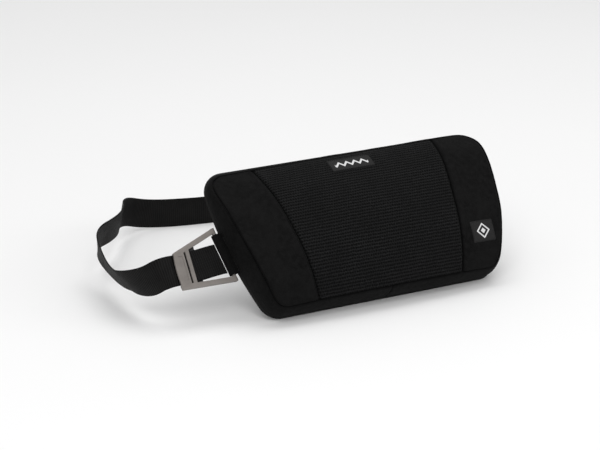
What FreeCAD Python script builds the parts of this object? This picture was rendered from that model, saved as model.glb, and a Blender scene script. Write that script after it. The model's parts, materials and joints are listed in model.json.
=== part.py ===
import FreeCAD, Part
import math
import os
import Sketcher
from FreeCAD import Placement, Rotation, Vector

# A portable lumbar cushion with a chair strap, leaning back on its lower back edge.
#
# Cushion frame, used while the pieces are made: X to the right, Y up the back panel,
# Z out of the front, with the outer face of the back panel on Z = 0.
# Row frame, used in the files: +Z up, -Y the side that the front faces, origin in the
# middle of the footprint of everything but the strap. The lean is a turn about X.

NAMED_SIZES = [
    # cushion
    ("mid_width", 311.0, "cushion width at half height"),
    ("height", 162.0, "cushion height along the back panel"),
    ("side_taper", 10.2, "lean of each side from square, degrees, wider at the top"),
    ("side_bow", 9.0, "how far a side bows out at half height"),
    ("top_corner_radius", 24.0, "radius of the two upper corners"),
    ("bottom_corner_radius", 15.0, "radius of the two lower corners"),
    ("top_depth", 9.0, "depth at the top edge, middle of the width"),
    ("bottom_depth", 30.0, "depth at the bottom edge, middle of the width"),
    ("crown_depth", 45.5, "greatest depth, at half height"),
    ("end_fall", 4.5, "how much shallower the crown is at the two ends"),
    ("lean_angle", 52.3, "angle of the back panel above the floor, degrees"),
    # cover
    ("cover_thickness", 1.2, "thickness of every cover panel"),
    ("core_gap", 0.3, "clearance between foam and cover"),
    ("panel_half_mid", 94.5, "half width of the centre panel at half height"),
    ("panel_taper", 7.8, "lean of the centre panel's seams, degrees"),
    ("binding_width", 3.5, "width of the binding along the back edge"),
    ("binding_thickness", 1.4, "how far the binding stands out of the side"),
    # labels
    ("label_thickness", 0.8, "thickness of a sewn label"),
    ("top_label_width", 50.0, "top label, across"),
    ("top_label_height", 16.0, "top label, up the front"),
    ("top_label_place", 61.0, "top label's centre above half height"),
    ("side_label_width", 28.0, "side label, across"),
    ("side_label_height", 23.0, "side label, up the front"),
    ("side_label_in", 30.4, "side label's centre in from the right side"),
    ("side_label_down", 39.0, "side label's centre below half height"),
    # zip
    ("zip_length", 216.0, "length of the zip's coil"),
    ("zip_down", 42.0, "zip's line below half height"),
    ("zip_window", 12.0, "height of the opening that the zip fills"),
    ("coil_width", 1.7, "width of one row of coil"),
    ("coil_thickness", 1.4, "thickness of the coil"),
    ("coil_stand", 0.3, "how far the coil stands out of the back panel"),
    ("tape_thickness", 0.6, "thickness of a zip tape"),
    ("tape_depth", 0.3, "how far the tape lies below the back panel's face"),
    ("stop_length", 2.4, "length of an end stop"),
    ("slider_length", 11.0, "slider, along the zip"),
    ("slider_wall", 1.1, "wall of the slider"),
    ("slider_clearance", 0.4, "clearance between slider and coil or tape"),
    ("bail_length", 4.6, "bail on the slider, along the zip"),
    ("bail_width", 2.4, "bail on the slider, across the zip"),
    ("bail_height", 3.6, "how far the bail stands out of the slider"),
    ("bail_hole_radius", 1.0, "hole through the bail for the pull"),
    ("pull_clearance", 0.1, "clearance of the pull's pin in the bail"),
    ("pull_length", 20.0, "pull tab's length from its pin"),
    ("pull_width", 7.0, "pull tab's width"),
    ("pull_thickness", 1.6, "pull tab's thickness"),
    # ring and sleeve
    ("ring_out", 5.9, "ring's bar, out from the cushion's side"),
    ("ring_down", 6.0, "ring's bar, centre below half height"),
    ("ring_stand", 5.0, "ring's bar in front of the back face"),
    ("bar_radius", 2.2, "radius of the ring's wide bar"),
    ("bar_margin", 13.5, "wide bar beyond the webbing at each end"),
    ("end_margin", 3.35, "narrow end beyond the webbing on each side"),
    ("end_drop", 8.75, "narrow end's centre below the bar's centre"),
    ("webbing_rise", 2.0, "webbing's centre line above the narrow end's centre"),
    ("ring_reach", 53.3, "wide bar's axis to the narrow end"),
    ("end_bow", 1.6, "how far the narrow end bows out"),
    ("arm_width", 5.0, "width of each arm of the ring"),
    ("ring_thickness", 4.6, "thickness of the arms"),
    ("plate_width", 10.5, "width of the plate at the narrow end"),
    ("plate_recess", 0.5, "depth of the blank recess in the plate"),
    ("recess_width", 4.6, "width of the blank recess"),
    ("recess_margin", 3.0, "webbing's edge beyond the blank recess"),
    ("recess_out", 1.0, "blank recess's centre in from the plate's centre"),
    ("slot_width", 2.0, "width of the narrow slot"),
    ("mid_bar_width", 4.0, "width of the middle bar"),
    ("lock_bar_width", 8.0, "width of the lock bar under the webbing"),
    ("lock_bar_thickness", 2.2, "thickness of the lock bar"),
    ("sleeve_wall", 1.5, "wall of the sleeve around the bar"),
    ("sleeve_clearance", 0.3, "clearance of the bar in the sleeve"),
    ("sleeve_end_gap", 2.1, "gap between sleeve and arm"),
    # strap
    ("webbing_width", 32.0, "width of the webbing"),
    ("webbing_thickness", 1.6, "thickness of the webbing"),
    ("webbing_clearance", 0.3, "clearance of the webbing in the ring"),
    ("tail_gap", 1.4, "gap between the tail's end and the sleeve"),
    ("anchor_down", 12.0, "strap's sewn end, below half height"),
    ("anchor_depth", 17.0, "sewn anchor, from the binding forwards"),
    ("anchor_margin", 1.0, "sewn anchor beyond the webbing on each side"),
    ("anchor_thickness", 3.4, "how far the anchor stands out of the side"),
    ("binding_clearance", 0.1, "clearance between the webbing and the binding"),
    ("ring_run", 14.0, "webbing's straight run out of the ring"),
    ("anchor_run", 40.0, "webbing's straight run back from the anchor"),
]

# The strap's centre line. y and z are in the row frame. x is from where the webbing leaves
# the ring, then in the row frame behind the cushion, then from the sewn end. The two points
# at each end are worked out from the ring and the anchor.
ROUTE_FROM_RING = [
    (-25.1, 15, 44), (-35.1, 49, 34), (-33.1, 94, 33), (-26.1, 153, 44), (24.9, 197, 39),
    (45.9, 250, 35),
]
ROUTE_BEHIND = [(-102, 273, 16.2), (-48, 257, 16.2), (6, 250, 16.2), (64, 234, 16.2)]
ROUTE_TO_ANCHOR = [(-67.7, 198, 16.5), (-29.7, 148, 19), (-8.7, 95, 24)]
LEAD_POINTS = 4                # this many route points belong to the lead at the ring
SECTION_STEP = 7.0             # spacing of the strap's sections around a bend
BLANK = 400.0                  # larger than the cushion, for cutting blocks
CUT_OVER = 1.0                 # how far a cutting block runs past a face

doc = FreeCAD.newDocument("lumbar_cushion")
sheet = doc.addObject("Spreadsheet::Sheet", "sizes")
for row, (alias, value, note) in enumerate(NAMED_SIZES, start=1):
    sheet.set(f"A{row}", note)
    sheet.set(f"B{row}", str(value))
    sheet.setAlias(f"B{row}", alias)
doc.recompute()


def size(alias):
    return float(sheet.get(alias))


# ---------------------------------------------------------------- building helpers

def solid_feature(label, shape, placement=None):
    """A piece whose shape comes from Part's own functions."""
    piece = doc.addObject("Part::Feature", label)
    piece.Label = label
    piece.Shape = shape.Solids[0] if len(shape.Solids) == 1 else shape
    if placement is not None:
        piece.Placement = placement
    return piece


def new_body(label):
    body = doc.addObject("PartDesign::Body", label)
    body.Label = label
    return body


def origin_plane(body, role):
    return next(o for o in body.Origin.OriginFeatures if o.Role == role)


def polygon_sketch(body, name, role, level, corners):
    """A closed polygon on one of the body's own planes; each corner is two formulas."""
    sketch = body.newObject("Sketcher::SketchObject", name)
    sketch.AttachmentSupport = [(origin_plane(body, role), "")]
    sketch.MapMode = "FlatFace"
    sketch.setExpression("AttachmentOffset.Base.z", level)
    count = len(corners)
    ring = [Vector(10 * math.cos(2 * math.pi * i / count),
                   10 * math.sin(2 * math.pi * i / count), 0) for i in range(count)]
    for i in range(count):
        sketch.addGeometry(Part.LineSegment(ring[i], ring[(i + 1) % count]), False)
    for i in range(count):
        sketch.addConstraint(Sketcher.Constraint("Coincident", i, 2, (i + 1) % count, 1))
    for i, (across, up) in enumerate(corners):
        for kind, start, formula in (("DistanceX", ring[i].x, across),
                                     ("DistanceY", ring[i].y, up)):
            index = sketch.addConstraint(Sketcher.Constraint(kind, -1, 1, i, 1, start))
            sketch.setExpression(f"Constraints[{index}]", formula)
    return sketch


def block_corners(low_x, high_x, low_y, high_y):
    return [(low_x, low_y), (high_x, low_y), (high_x, high_y), (low_x, high_y)]


def pad(body, name, sketch, length):
    feature = body.newObject("PartDesign::Pad", name)
    feature.Profile = sketch
    feature.setExpression("Length", length)
    return feature


def pocket(body, name, sketch, length, backwards=True):
    """Cuts from the sketch upwards when backwards is set, else downwards."""
    feature = body.newObject("PartDesign::Pocket", name)
    feature.Profile = sketch
    feature.Reversed = backwards
    feature.setExpression("Length", length)
    return feature


def block(low, high):
    return Part.makeBox(high[0] - low[0], high[1] - low[1], high[2] - low[2], Vector(*low))


# ---------------------------------------------------------------- cushion envelope

def half_width(up):
    """Half width of the outline at a height above the middle."""
    reach = 2 * up / size("height")
    return (size("mid_width") / 2 + math.tan(math.radians(size("side_taper"))) * up
            - size("side_bow") * reach * reach)


def outline_wire(grow):
    """The cushion's outline, grown outwards by a distance."""
    top = size("height") / 2
    low_right = Vector(half_width(-top), -top, 0)
    high_right = Vector(half_width(top), top, 0)
    low_left = Vector(-low_right.x, -top, 0)
    high_left = Vector(-high_right.x, top, 0)
    mid = size("mid_width") / 2
    edges = [Part.LineSegment(low_left, low_right).toShape(),
             Part.Arc(low_right, Vector(mid, 0, 0), high_right).toShape(),
             Part.LineSegment(high_right, high_left).toShape(),
             Part.Arc(high_left, Vector(-mid, 0, 0), low_left).toShape()]
    plate = Part.Face(Part.Wire(edges)).extrude(Vector(0, 0, 1))
    for side, radius in ((1, size("top_corner_radius")), (-1, size("bottom_corner_radius"))):
        corners = [e for e in plate.Edges
                   if abs(e.Vertexes[0].X - e.Vertexes[-1].X) < 1e-6
                   and abs(e.Vertexes[0].Y - e.Vertexes[-1].Y) < 1e-6
                   and abs(e.Vertexes[0].Y - side * top) < 1e-6]
        plate = plate.makeFillet(radius, corners)
    flat = next(f for f in plate.Faces if abs(f.CenterOfMass.z) < 1e-6)
    return flat.OuterWire.makeOffset2D(grow) if grow else flat.OuterWire


def outline_prism(grow, low, high):
    prism = Part.Face(outline_wire(grow)).extrude(Vector(0, 0, high - low))
    prism.translate(Vector(0, 0, low))
    return prism


def front_form(grow):
    """A torus whose outside is the crowned front, grown outwards by a distance."""
    top = size("height") / 2
    arc = Part.Arc(Vector(-top, size("bottom_depth"), 0), Vector(0, size("crown_depth"), 0),
                   Vector(top, size("top_depth"), 0)).toShape().Curve
    tube = arc.Radius
    crown = arc.Center.y + tube
    fall_radius = (size("mid_width") / 2) ** 2 / (2 * size("end_fall"))
    return Part.makeTorus(fall_radius - tube, tube + grow,
                          Vector(0, arc.Center.x, crown - fall_radius), Vector(0, 1, 0))


def under_front(grow, inset, low):
    """Everything inside the outline and under the front, above a level."""
    return outline_prism(inset, low, size("crown_depth") * 2).common(front_form(grow))


def seam_prism(side):
    """A wide block on one side of the centre panel: -1 left, 1 right."""
    lean = math.tan(math.radians(size("panel_taper"))) * BLANK
    mid = size("panel_half_mid")
    points = [Vector(side * (mid - lean), -BLANK, 0), Vector(side * (mid + lean), BLANK, 0),
              Vector(side * 2 * BLANK, BLANK, 0), Vector(side * 2 * BLANK, -BLANK, 0)]
    face = Part.Face(Part.makePolygon(points + points[:1]))
    return face.extrude(Vector(0, 0, BLANK))


def make_front_panels():
    skin = under_front(0, 0, 0).cut(front_form(-size("cover_thickness")))
    skin = skin.common(block((-BLANK, -BLANK, 0), (BLANK, BLANK, BLANK)))
    left, right = seam_prism(-1), seam_prism(1)
    return [solid_feature("left_side_panel", skin.common(left)),
            solid_feature("right_side_panel", skin.common(right)),
            solid_feature("centre_mesh_panel", skin.cut(left).cut(right))]


def make_boxing_strips():
    """The strip around the side, in two halves sewn at the middle of top and bottom."""
    wall = size("cover_thickness")
    strip = under_front(-wall, 0, wall).cut(outline_prism(-wall, 0, BLANK))
    left = block((-BLANK, -BLANK, 0), (0, BLANK, BLANK))
    return [solid_feature("left_boxing_strip", strip.common(left)),
            solid_feature("right_boxing_strip", strip.cut(left))]


def make_foam_core():
    gap = size("cover_thickness") + size("core_gap")
    return solid_feature("foam_core", under_front(-gap, -gap, gap))


def zip_block(low_y, high_y, low_z, high_z, half_length):
    """A block along the zip, with heights counted from the zip's own line."""
    line = -size("zip_down")
    return block((-half_length, line + low_y, low_z), (half_length, line + high_y, high_z))


def zip_half_length():
    """Half the length of the zip's opening: the coil and a stop at each end."""
    return size("zip_length") / 2 + size("stop_length")


def make_back_panels():
    wall = size("cover_thickness")
    window = zip_block(-size("zip_window") / 2, size("zip_window") / 2, -CUT_OVER,
                       wall + CUT_OVER, zip_half_length())
    panel = outline_prism(0, 0, wall).cut(window)
    upper = block((-BLANK, -size("zip_down"), -CUT_OVER), (BLANK, BLANK, BLANK))
    return [solid_feature("upper_back_panel", panel.common(upper)),
            solid_feature("lower_back_panel", panel.cut(upper))]


def make_binding():
    grown = size("binding_thickness")
    ring = outline_prism(grown, 0, size("binding_width"))
    return solid_feature("back_edge_binding", ring.cut(outline_prism(0, -CUT_OVER, BLANK)))


def make_label(label, centre_x, centre_y, width, height):
    footprint = block((centre_x - width / 2, centre_y - height / 2, 0),
                      (centre_x + width / 2, centre_y + height / 2, BLANK))
    skin = front_form(size("label_thickness")).cut(front_form(0))
    return solid_feature(label, skin.common(footprint))


# ---------------------------------------------------------------- zip

def make_zip_tapes():
    low = size("tape_depth")
    high = low + size("tape_thickness")
    inner, outer = size("coil_width"), size("zip_window") / 2
    half = zip_half_length()
    return [solid_feature("upper_zip_tape", zip_block(inner, outer, low, high, half)),
            solid_feature("lower_zip_tape", zip_block(-outer, -inner, low, high, half))]


def make_zip_coils():
    low = -size("coil_stand")
    high = low + size("coil_thickness")
    wide, half = size("coil_width"), size("zip_length") / 2
    return [solid_feature("upper_zip_coil", zip_block(0, wide, low, high, half)),
            solid_feature("lower_zip_coil", zip_block(-wide, 0, low, high, half))]


def make_end_stops():
    low = -size("coil_stand")
    high = low + size("coil_thickness")
    wide, start, end = size("coil_width"), size("zip_length") / 2, zip_half_length()
    line = -size("zip_down")
    stops = [block((min(a, b), line - wide, low), (max(a, b), line + wide, high))
             for a, b in ((start, end), (-end, -start))]
    return solid_feature("zip_end_stops", Part.makeCompound(stops))


def slider_place():
    """The slider's centre along the zip when the zip is closed."""
    return size("zip_length") / 2 - size("slider_length") / 2


def make_slider():
    """A channel that straddles the coil, with a drilled bail for the pull."""
    body = new_body("zip_slider")
    half = "(sizes.coil_width + sizes.slider_clearance + sizes.slider_wall)"
    inner = "(sizes.coil_width + sizes.slider_clearance)"
    top = "(sizes.coil_stand + sizes.slider_clearance + sizes.slider_wall)"
    foot = "(sizes.slider_clearance - sizes.tape_depth)"
    outside = polygon_sketch(body, "slider_outside", "XY_Plane", f"-{top}", block_corners(
        "-sizes.slider_length / 2", "sizes.slider_length / 2", f"-{half}", half))
    pad(body, "slider_block", outside, f"{top} - {foot}")
    channel = polygon_sketch(body, "slider_channel", "XY_Plane",
                             f"-{top} + sizes.slider_wall", block_corners(
                                 "-sizes.slider_length", "sizes.slider_length",
                                 f"-{inner}", inner))
    pocket(body, "coil_channel", channel, f"{top}")
    bail = polygon_sketch(body, "bail_outline", "XY_Plane", f"-{top} - sizes.bail_height",
                          block_corners("-sizes.bail_length / 2", "sizes.bail_length / 2",
                                        "-sizes.bail_width / 2", "sizes.bail_width / 2"))
    pad(body, "bail_block", bail, "sizes.bail_height")
    hole = body.newObject("PartDesign::SubtractiveCylinder", "bail_hole")
    hole.setExpression("Radius", "sizes.bail_hole_radius")
    hole.setExpression("Height", "sizes.bail_width * 2")
    hole.Placement = Placement(Vector(0, 0, 0), Rotation(Vector(1, 0, 0), -90))
    hole.setExpression("Placement.Base.y", "-sizes.bail_width")
    hole.setExpression("Placement.Base.z", f"-{top} - sizes.bail_height / 2")
    body.Placement = Placement(Vector(slider_place(), -size("zip_down"), 0), Rotation())
    return body


def pull_axis_depth():
    """How far behind the back panel's face the pull's pin runs."""
    return (size("coil_stand") + size("slider_clearance") + size("slider_wall")
            + size("bail_height") / 2)


def make_pull():
    """A pin through the bail, two cheeks beside it and a tab that hangs from them."""
    pin = size("bail_hole_radius") - size("pull_clearance")
    cheek_in = size("bail_width") / 2 + 2 * size("pull_clearance")
    half_wide, half_thick = size("pull_width") / 2, size("pull_thickness") / 2
    # the window beside the bail has to clear its corner at every angle
    window = math.hypot(size("bail_length"), size("bail_height")) / 2 + size("slider_clearance")
    tab = block((-half_thick, -half_wide, -size("pull_length")),
                (half_thick, half_wide, pin))
    tab = tab.cut(block((-CUT_OVER * 3, -cheek_in, -window), (CUT_OVER * 3, cheek_in, BLANK)))
    shaft = Part.makeCylinder(pin, 2 * half_wide, Vector(0, -half_wide, 0), Vector(0, 1, 0))
    pull = tab.fuse(shaft).removeSplitter()
    corners = [e for e in pull.Edges if e.BoundBox.XLength > 2 * half_thick - 1e-6
               and abs(e.BoundBox.ZMin + size("pull_length")) < 1e-6
               and e.BoundBox.YLength < 1e-6]
    pull = pull.makeFillet(half_wide * 0.6, corners)
    return solid_feature("zip_pull", pull, Placement(
        Vector(slider_place(), -size("zip_down"), -pull_axis_depth()), Rotation()))


# ---------------------------------------------------------------- ring, sleeve, lock bar
# The ring's own frame: origin in the middle of the wide bar, X towards the cushion,
# Y up the cushion, Z out of the front. The wide bar follows the cushion's tapered side.

def ring_place():
    line = half_width(-size("ring_down")) + size("ring_out")
    return Placement(Vector(-line, -size("ring_down"), size("ring_stand")), Rotation())


def bar_half_length():
    return size("webbing_width") / 2 + size("bar_margin")


def narrow_corners():
    """Heights of the narrow end's two corners above the middle of the bar."""
    half = size("webbing_width") / 2 + size("end_margin")
    return -size("end_drop") + half, -size("end_drop") - half


def make_ring():
    reach, half_bar = size("ring_reach"), bar_half_length()
    end_up, end_low = narrow_corners()
    lean = math.radians(size("side_taper"))
    half = size("ring_thickness") / 2
    top_bar = Vector(-half_bar * math.sin(lean), half_bar * math.cos(lean), 0)
    low_bar = Vector(-top_bar.x, -top_bar.y, 0)
    top_end = Vector(-reach, end_up, 0)
    low_end = Vector(-reach, end_low, 0)
    bowed = Vector(-reach - size("end_bow"), (top_end.y + low_end.y) / 2, 0)
    edges = [Part.LineSegment(low_bar, top_bar).toShape(),
             Part.LineSegment(top_bar, top_end).toShape(),
             Part.Arc(top_end, bowed, low_end).toShape(),
             Part.LineSegment(low_end, low_bar).toShape()]
    ring = Part.Face(Part.Wire(edges)).extrude(Vector(0, 0, 2 * half))
    ring.translate(Vector(0, 0, -half))

    # inner edges of the arms, as lines parallel to the outer ones
    wide = size("arm_width")
    up_run = (top_end - top_bar).normalize()
    up_in = top_bar + Vector(up_run.y, -up_run.x, 0) * wide
    if up_in.y > top_bar.y:
        up_in = top_bar - Vector(up_run.y, -up_run.x, 0) * wide
    low_run = (low_end - low_bar).normalize()
    low_in = low_bar + Vector(-low_run.y, low_run.x, 0) * wide
    if low_in.y < low_bar.y:
        low_in = low_bar - Vector(-low_run.y, low_run.x, 0) * wide

    def upper_edge(x):
        return up_in.y + up_run.y / up_run.x * (x - up_in.x)

    def lower_edge(x):
        return low_in.y + low_run.y / low_run.x * (x - low_in.x)

    def opening(outer_x, inner_x, low_z, high_z):
        points = [Vector(outer_x, lower_edge(outer_x), low_z),
                  Vector(inner_x, lower_edge(inner_x), low_z),
                  Vector(inner_x, upper_edge(inner_x), low_z),
                  Vector(outer_x, upper_edge(outer_x), low_z)]
        return Part.Face(Part.makePolygon(points + points[:1])).extrude(
            Vector(0, 0, high_z - low_z))

    slot_in = -reach + size("plate_width") + size("slot_width")
    window_out = slot_in + size("mid_bar_width")
    past = half + CUT_OVER
    ring = ring.cut(opening(slot_in - size("slot_width"), slot_in, -past, past))
    ring = ring.cut(opening(window_out, 2 * size("arm_width"), -past, past))
    channel_top = size("webbing_clearance") / 2
    tall = size("webbing_width") / 2 + size("webbing_clearance")
    middle = strap_line()
    ring = ring.cut(block((-reach - BLANK, middle - tall, -past),
                          (window_out, middle + tall, channel_top)))
    recess_mid = -reach + size("plate_width") / 2 + size("recess_out")
    recess_half = size("webbing_width") / 2 - size("recess_margin")
    ring = ring.cut(block(
        (recess_mid - size("recess_width") / 2, middle - recess_half,
         half - size("plate_recess")),
        (recess_mid + size("recess_width") / 2, middle + recess_half, past)))
    bar = Part.makeCylinder(size("bar_radius"), 2 * half_bar, low_bar, top_bar - low_bar)
    ring = ring.fuse(bar).removeSplitter()
    piece = solid_feature("left_ring", ring, ring_place())

    # the lock bar fits between the arms under the webbing
    lock_top = channel_top - size("webbing_thickness") - size("webbing_clearance")
    lock = opening(window_out, window_out + size("lock_bar_width"),
                   lock_top - size("lock_bar_thickness"), lock_top)
    return [piece, solid_feature("left_lock_bar", lock, ring_place())]


def strap_line():
    """The webbing's centre line in the ring, above the middle of the bar."""
    return -size("end_drop") + size("webbing_rise")


def make_tail():
    """The webbing's end, from the narrow end of the ring to just short of the sleeve."""
    lean = math.radians(size("side_taper"))
    short = (size("bar_radius") + size("sleeve_clearance") + size("sleeve_wall")
             + size("tail_gap")) / math.cos(lean)
    middle, half = strap_line(), size("webbing_width") / 2
    low, high = middle - half, middle + half
    outer = -size("ring_reach") - size("end_bow")
    level = -size("webbing_thickness")
    points = [Vector(outer, low, level), Vector(-short - low * math.tan(lean), low, level),
              Vector(-short - high * math.tan(lean), high, level), Vector(outer, high, level)]
    tail = Part.Face(Part.makePolygon(points + points[:1])).extrude(
        Vector(0, 0, size("webbing_thickness")))
    return solid_feature("left_strap_tail", tail, ring_place())


def make_sleeve():
    """A loop of cover fabric around the wide bar, sewn into the side seam."""
    lean = math.radians(size("side_taper"))
    hole = size("bar_radius") + size("sleeve_clearance")
    outer = hole + size("sleeve_wall")
    arm = size("arm_width") / math.cos(lean)
    half = bar_half_length() - arm - size("sleeve_end_gap")
    along = Vector(-math.sin(lean), math.cos(lean), 0)
    start = along * -half
    tube = Part.makeCylinder(outer, 2 * half, start, along)
    tab = Part.makeBox(2 * half, 2 * half, 2 * size("sleeve_wall"),
                       Vector(0, -half, -size("sleeve_wall")))
    tab.rotate(Vector(0, 0, 0), Vector(0, 0, 1), size("side_taper"))
    sleeve = tube.fuse(tab)
    core = outline_prism(0, -BLANK, BLANK)
    binding = outline_prism(size("binding_thickness"), -BLANK, size("binding_width"))
    for cutter in (core, binding):
        cutter.translate(-ring_place().Base)
        sleeve = sleeve.cut(cutter)
    sleeve = sleeve.cut(Part.makeCylinder(hole, 4 * half, along * (-2 * half), along))
    keep = sorted(sleeve.Solids, key=lambda s: s.Volume)[-1]
    return solid_feature("left_ring_sleeve", keep, ring_place())


# ---------------------------------------------------------------- strap

def anchor_place():
    """On the right side wall: X out of the wall, Y along it, Z out of the front."""
    down = -size("anchor_down")
    lean = (math.tan(math.radians(size("side_taper")))
            - 8 * size("side_bow") * down / size("height") ** 2)
    return Placement(Vector(half_width(down), down, 0),
                     Rotation(Vector(0, 0, 1), -math.degrees(math.atan(lean))))


def webbing_out():
    """How far the webbing's centre line is out of the side wall at the anchor."""
    return (size("binding_thickness") + size("binding_clearance")
            + size("webbing_thickness") / 2)


def make_anchor():
    """A folded tab sewn to the side wall over the webbing's end."""
    half = size("webbing_width") / 2 + size("anchor_margin")
    low = size("binding_width")
    anchor = block((-size("anchor_thickness"), -half, low),
                   (size("anchor_thickness"), half, low + size("anchor_depth")))
    anchor.Placement = anchor_place()
    return solid_feature("strap_anchor", anchor.cut(outline_prism(0, -BLANK, BLANK)))


def rounded_route(points):
    """Straight runs joined by tangent arcs, each as large as its two runs allow."""
    edges = []
    last = points[0]
    for before, corner, after in zip(points, points[1:], points[2:]):
        back, on = (before - corner), (after - corner)
        run = min(back.Length, on.Length)
        turn = math.pi - back.getAngle(on)
        cut = 0.45 * run
        radius = cut / math.tan(turn / 2)
        print(f"strap bend: radius {radius:.0f} mm, turn {math.degrees(turn):.0f} degrees")
        back.normalize()
        on.normalize()
        start, end = corner + back * cut, corner + on * cut
        inward = (back + on).normalize()
        middle = corner + inward * (math.hypot(radius, cut) - radius)
        edges.append(Part.LineSegment(last, start).toShape())
        edges.append(Part.Arc(start, middle, end).toShape())
        last = end
    edges.append(Part.LineSegment(last, points[-1]).toShape())
    return edges


def webbing_section(place, forward, across):
    """A rectangle of webbing square to the route."""
    across = (across - forward * across.dot(forward)).normalize()
    out = forward.cross(across)
    wide = across * (size("webbing_width") / 2)
    thick = out * (size("webbing_thickness") / 2)
    corners = [place + wide + thick, place - wide + thick,
               place - wide - thick, place + wide - thick]
    return Part.makePolygon(corners + corners[:1])


def webbing(label, edges, across_at):
    """Ruled webbing along the edges; across_at gives its width direction at a share."""
    total = sum(e.Length for e in edges)
    sections = []
    run = 0.0
    for edge in edges:
        straight = edge.Curve.TypeId == "Part::GeomLine"
        steps = 1 if straight else max(2, round(edge.Length / SECTION_STEP))
        for i in range(steps + (edge is edges[-1])):
            at = edge.getParameterByLength(edge.Length * i / steps)
            sections.append(webbing_section(edge.valueAt(at), edge.tangentAt(at),
                                            across_at((run + edge.Length * i / steps) / total)))
        run += edge.Length
    shape = Part.makeLoft(sections, True, True)
    ideal = total * size("webbing_width") * size("webbing_thickness")
    print(f"{label}: length {total:.1f} mm, volume {shape.Volume / ideal:.3f} of its section"
          " times its length")
    return solid_feature(label, shape)


def blend(start, end, share):
    """A smooth turn of one direction into another."""
    share = min(max(share, 0.0), 1.0)
    ease = share * share * (3 - 2 * share)
    return (start * (1 - ease) + end * ease).normalize()


def make_strap(tilt):
    up_cushion = tilt.Rotation.multVec(Vector(0, 1, 0))
    along_side = tilt.multiply(anchor_place()).Rotation.multVec(Vector(0, 1, 0))
    upright = Vector(0, 0, 1)
    leaving = ring_place().Base + Vector(
        -size("ring_reach") - size("end_bow"), strap_line(), -size("webbing_thickness") / 2)
    sewn = anchor_place().multVec(Vector(webbing_out(), 0, size("binding_width")))
    points = [tilt.multVec(leaving), tilt.multVec(leaving - Vector(size("ring_run"), 0, 0))]
    ends = [tilt.multVec(sewn - Vector(0, 0, size("anchor_run"))), tilt.multVec(sewn)]
    points += [Vector(points[0].x + x, y, z) for x, y, z in ROUTE_FROM_RING]
    points += [Vector(*p) for p in ROUTE_BEHIND]
    points += [Vector(ends[1].x + x, y, z) for x, y, z in ROUTE_TO_ANCHOR] + ends
    edges = rounded_route(points)
    lead_edges, loop_edges = edges[:2 * LEAD_POINTS], edges[2 * LEAD_POINTS:]
    rise_from = 0.75           # share of the loop where it starts to turn up to its sewn end

    def lead_across(share):
        return blend(up_cushion, upright, share)

    def loop_across(share):
        return blend(upright, along_side, (share - rise_from) / (1 - rise_from))

    return [webbing("left_strap_lead", lead_edges, lead_across),
            webbing("strap_loop", loop_edges, loop_across)]


# ---------------------------------------------------------------- build and write

def footprint_placement(pieces):
    """Leans the cushion back and stands it on the floor over the origin."""
    lean = Placement(Vector(0, 0, 0), Rotation(Vector(1, 0, 0), size("lean_angle")))
    boxes = []
    for piece in pieces:
        shape = piece.Shape.copy()
        shape.Placement = lean.multiply(piece.Placement)
        boxes.append(shape.optimalBoundingBox(False, False))
    low_y, high_y = min(b.YMin for b in boxes), max(b.YMax for b in boxes)
    low_x, high_x = min(b.XMin for b in boxes), max(b.XMax for b in boxes)
    lift = Vector(-(low_x + high_x) / 2, -(low_y + high_y) / 2, -min(b.ZMin for b in boxes))
    return Placement(lift, Rotation()).multiply(lean)


pieces = [make_foam_core(), make_binding(), make_end_stops(), make_slider(), make_pull(),
          make_sleeve(), make_tail(), make_anchor()]
pieces += make_front_panels() + make_boxing_strips() + make_back_panels()
pieces += make_zip_tapes() + make_zip_coils() + make_ring()
pieces.append(make_label("top_label", 0, size("top_label_place"), size("top_label_width"),
                         size("top_label_height")))
pieces.append(make_label(
    "side_label", half_width(-size("side_label_down")) - size("side_label_in"),
    -size("side_label_down"), size("side_label_width"), size("side_label_height")))
doc.recompute()

cushion_tilt = footprint_placement(pieces)
for piece in pieces:
    piece.Placement = cushion_tilt.multiply(piece.Placement)
pieces += make_strap(cushion_tilt)
doc.recompute()
print("cushion frame to row frame:", cushion_tilt.Base, "turned", size("lean_angle"))

for item in doc.Objects:
    if "Invalid" in item.State or "Error" in item.State:
        raise RuntimeError(f"{item.Label} did not build: {item.State}")
os.makedirs("parts", exist_ok=True)
for piece in pieces:
    shape = piece.Shape
    if shape.isNull() or not shape.isValid() or not shape.Solids or shape.Volume <= 0:
        raise RuntimeError(f"{piece.Label} has no sound solid")
for piece in pieces:
    piece.Shape.exportStep(f"parts/{piece.Label}.step")
    print(f"{piece.Label}: {len(piece.Shape.Solids)} solid(s), {piece.Shape.Volume:.0f} mm3")
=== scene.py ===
import json
import math

import bmesh
import bpy
import numpy as np
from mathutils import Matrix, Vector, noise
from mathutils.bvhtree import BVHTree

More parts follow.
